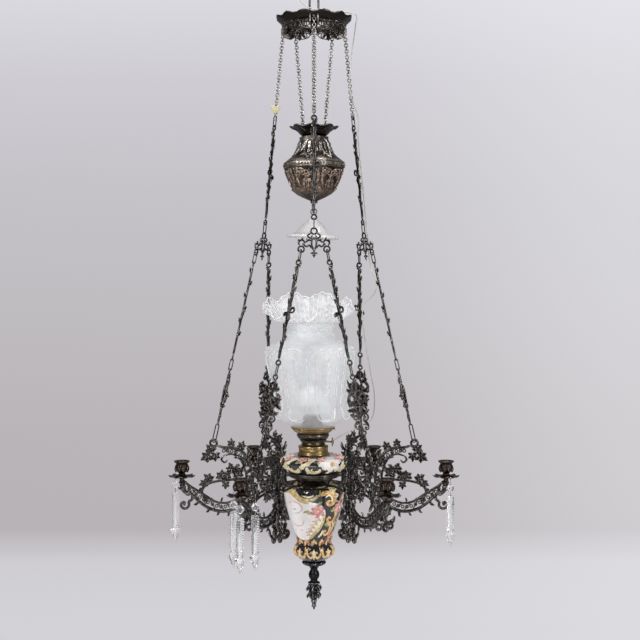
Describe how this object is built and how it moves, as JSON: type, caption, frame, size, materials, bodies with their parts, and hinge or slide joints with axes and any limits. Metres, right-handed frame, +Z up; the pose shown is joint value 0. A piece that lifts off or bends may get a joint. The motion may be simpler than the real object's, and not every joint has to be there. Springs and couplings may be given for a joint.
{
  "type": "hanging kerosene lamp",
  "caption": "Hanging kerosene lamp with an openwork crown, chain hoist and counterweight, scrolled candle arms, a painted vase and a frosted shade.",
  "frame": {"origin": "inside the top of the hanging loop, where the ceiling hook's wire lies", "axes": "+Z up along the column, +X to the right-hand candle arm seen from the front, -Y to the front"},
  "size_m": [0.626, 0.5538, 1.3558],
  "materials": {
    "bronze": "blackened bronze, soft sheen",
    "steel": "dull nickel-plated steel",
    "weight": "brown pressed sheet, worn to bare metal on the ridges",
    "lead": "rough casting",
    "opal": "white opal glass",
    "frosted": "frosted glass with clear lines",
    "crystal": "cut clear glass",
    "brass": "aged brass",
    "glaze": "glossy painted majolica glaze",
    "plastic": "dark moulded plastic",
    "cord": "clear twin flex"
  },
  "bodies": {
    "canopy": {"hanging_loop": "steel", "pulley_frame": "bronze", "canopy_crown": "bronze", "pulley_pin_front": "steel", "pulley_pin_right": "steel", "pulley_pin_left": "steel", "cord_connector": "plastic"},
    "lamp": {"chain_front": "steel", "chain_right": "steel", "chain_left": "steel", "upper_bar_front": "bronze", "upper_bar_right": "bronze", "upper_bar_left": "bronze", "hanger_bracket_front": "bronze", "hanger_bracket_right": "bronze", "hanger_bracket_left": "bronze", "lower_hanger_1": "bronze", "arm_1": "bronze", "candle_cup_1": "bronze", "lower_hanger_2": "bronze", "arm_2": "bronze", "candle_cup_2": "bronze", "lower_hanger_3": "bronze", "arm_3": "bronze", "candle_cup_3": "bronze", "lower_hanger_4": "bronze", "arm_4": "bronze", "candle_cup_4": "bronze", "lower_hanger_5": "bronze", "arm_5": "bronze", "candle_cup_5": "bronze", "lower_hanger_6": "bronze", "arm_6": "bronze", "candle_cup_6": "bronze", "finial": "bronze", "tie_rod": "steel", "vase": "glaze", "font_holder": "bronze", "font": "glaze", "font_collar": "brass", "burner": "bronze", "gallery": "brass", "bulb_socket": "plastic", "bulb": "frosted", "lamp_cord": "cord"},
    "counterweight": {"weight_cover": "weight", "weight_shell": "weight", "weight_ballast": "lead", "weight_rod": "steel"},
    "smoke_bell": {"smoke_bell": "opal"},
    "wick_knob": {"wick_knob": "bronze"},
    "shade": {"shade": "frosted"},
    "wheel_front": {"pulley_wheel_front": "bronze"},
    "wheel_right": {"pulley_wheel_right": "bronze"},
    "wheel_left": {"pulley_wheel_left": "bronze"},
    "drop_left": {"drop_left": "crystal"},
    "drop_right": {"drop_right": "crystal"},
    "drop_front_outer": {"drop_front_outer": "crystal"},
    "drop_front_middle": {"drop_front_middle": "crystal"},
    "drop_front_inner": {"drop_front_inner": "crystal"}
  },
  "joints": [
    {"name": "lamp_travel", "type": "slide", "parent": "canopy", "child": "lamp", "axis": [0, 0, 1], "range_m": [-0.15, 0.03], "deforming": ["chain_front", "chain_right", "chain_left", "lamp_cord"]},
    {"name": "counterweight_travel", "type": "slide", "parent": "canopy", "child": "counterweight", "axis": [0, 0, 1], "range_m": [-0.03, 0.15]},
    {"name": "pulley_spin_front", "type": "hinge", "parent": "canopy", "child": "wheel_front", "pos_m": [0, -0.0624, -0.0693], "axis": [1, 0, 0], "range_deg": [-200, 650]},
    {"name": "pulley_spin_right", "type": "hinge", "parent": "canopy", "child": "wheel_right", "pos_m": [0.05404, 0.0312, -0.0693], "axis": [-0.5, 0.866, 0], "range_deg": [-200, 650]},
    {"name": "pulley_spin_left", "type": "hinge", "parent": "canopy", "child": "wheel_left", "pos_m": [-0.05404, 0.0312, -0.0693], "axis": [-0.5, -0.866, 0], "range_deg": [-200, 650]},
    {"name": "smoke_bell_swing", "type": "hinge", "parent": "counterweight", "child": "smoke_bell", "pos_m": [0, 0, -0.4604], "axis": [0, 1, 0], "range_deg": [-8, 8]},
    {"name": "drop_swing_left", "type": "hinge", "parent": "lamp", "child": "drop_left", "pos_m": [-0.30034, 0.02249, -1.0323], "axis": [-0.5878, 0.809, 0], "range_deg": [-10, 10]},
    {"name": "drop_swing_right", "type": "hinge", "parent": "lamp", "child": "drop_right", "pos_m": [0.29025, -0.02709, -1.0323], "axis": [0.225, -0.9744, 0], "range_deg": [-10, 10]},
    {"name": "drop_swing_front_outer", "type": "hinge", "parent": "lamp", "child": "drop_front_outer", "pos_m": [-0.15834, -0.22346, -1.0323], "axis": [-0.5878, 0.809, 0], "range_deg": [-10, 10]},
    {"name": "drop_swing_front_middle", "type": "hinge", "parent": "lamp", "child": "drop_front_middle", "pos_m": [-0.142, -0.27375, -1.0323], "axis": [0, -1, 0], "range_deg": [-10, 10]},
    {"name": "drop_swing_front_inner", "type": "hinge", "parent": "lamp", "child": "drop_front_inner", "pos_m": [-0.11422, -0.24692, -1.0323], "axis": [0.9994, -0.0349, 0], "range_deg": [-10, 10]},
    {"name": "wick_turn", "type": "hinge", "parent": "lamp", "child": "wick_knob", "pos_m": [0.03, 0, -0.9586], "axis": [1, 0, 0], "range_deg": [-180, 180]},
    {"name": "shade_lift", "type": "slide", "parent": "lamp", "child": "shade", "axis": [0, 0, 1], "range_m": [0, 0.02]}
  ],
  "couplings": [
    {"joint": "counterweight_travel", "follows": "lamp_travel", "ratio": -1},
    {"joint": "pulley_spin_front", "follows": "lamp_travel", "rad_per_m": -66.667},
    {"joint": "pulley_spin_right", "follows": "lamp_travel", "rad_per_m": -66.667},
    {"joint": "pulley_spin_left", "follows": "lamp_travel", "rad_per_m": -66.667}
  ]
}
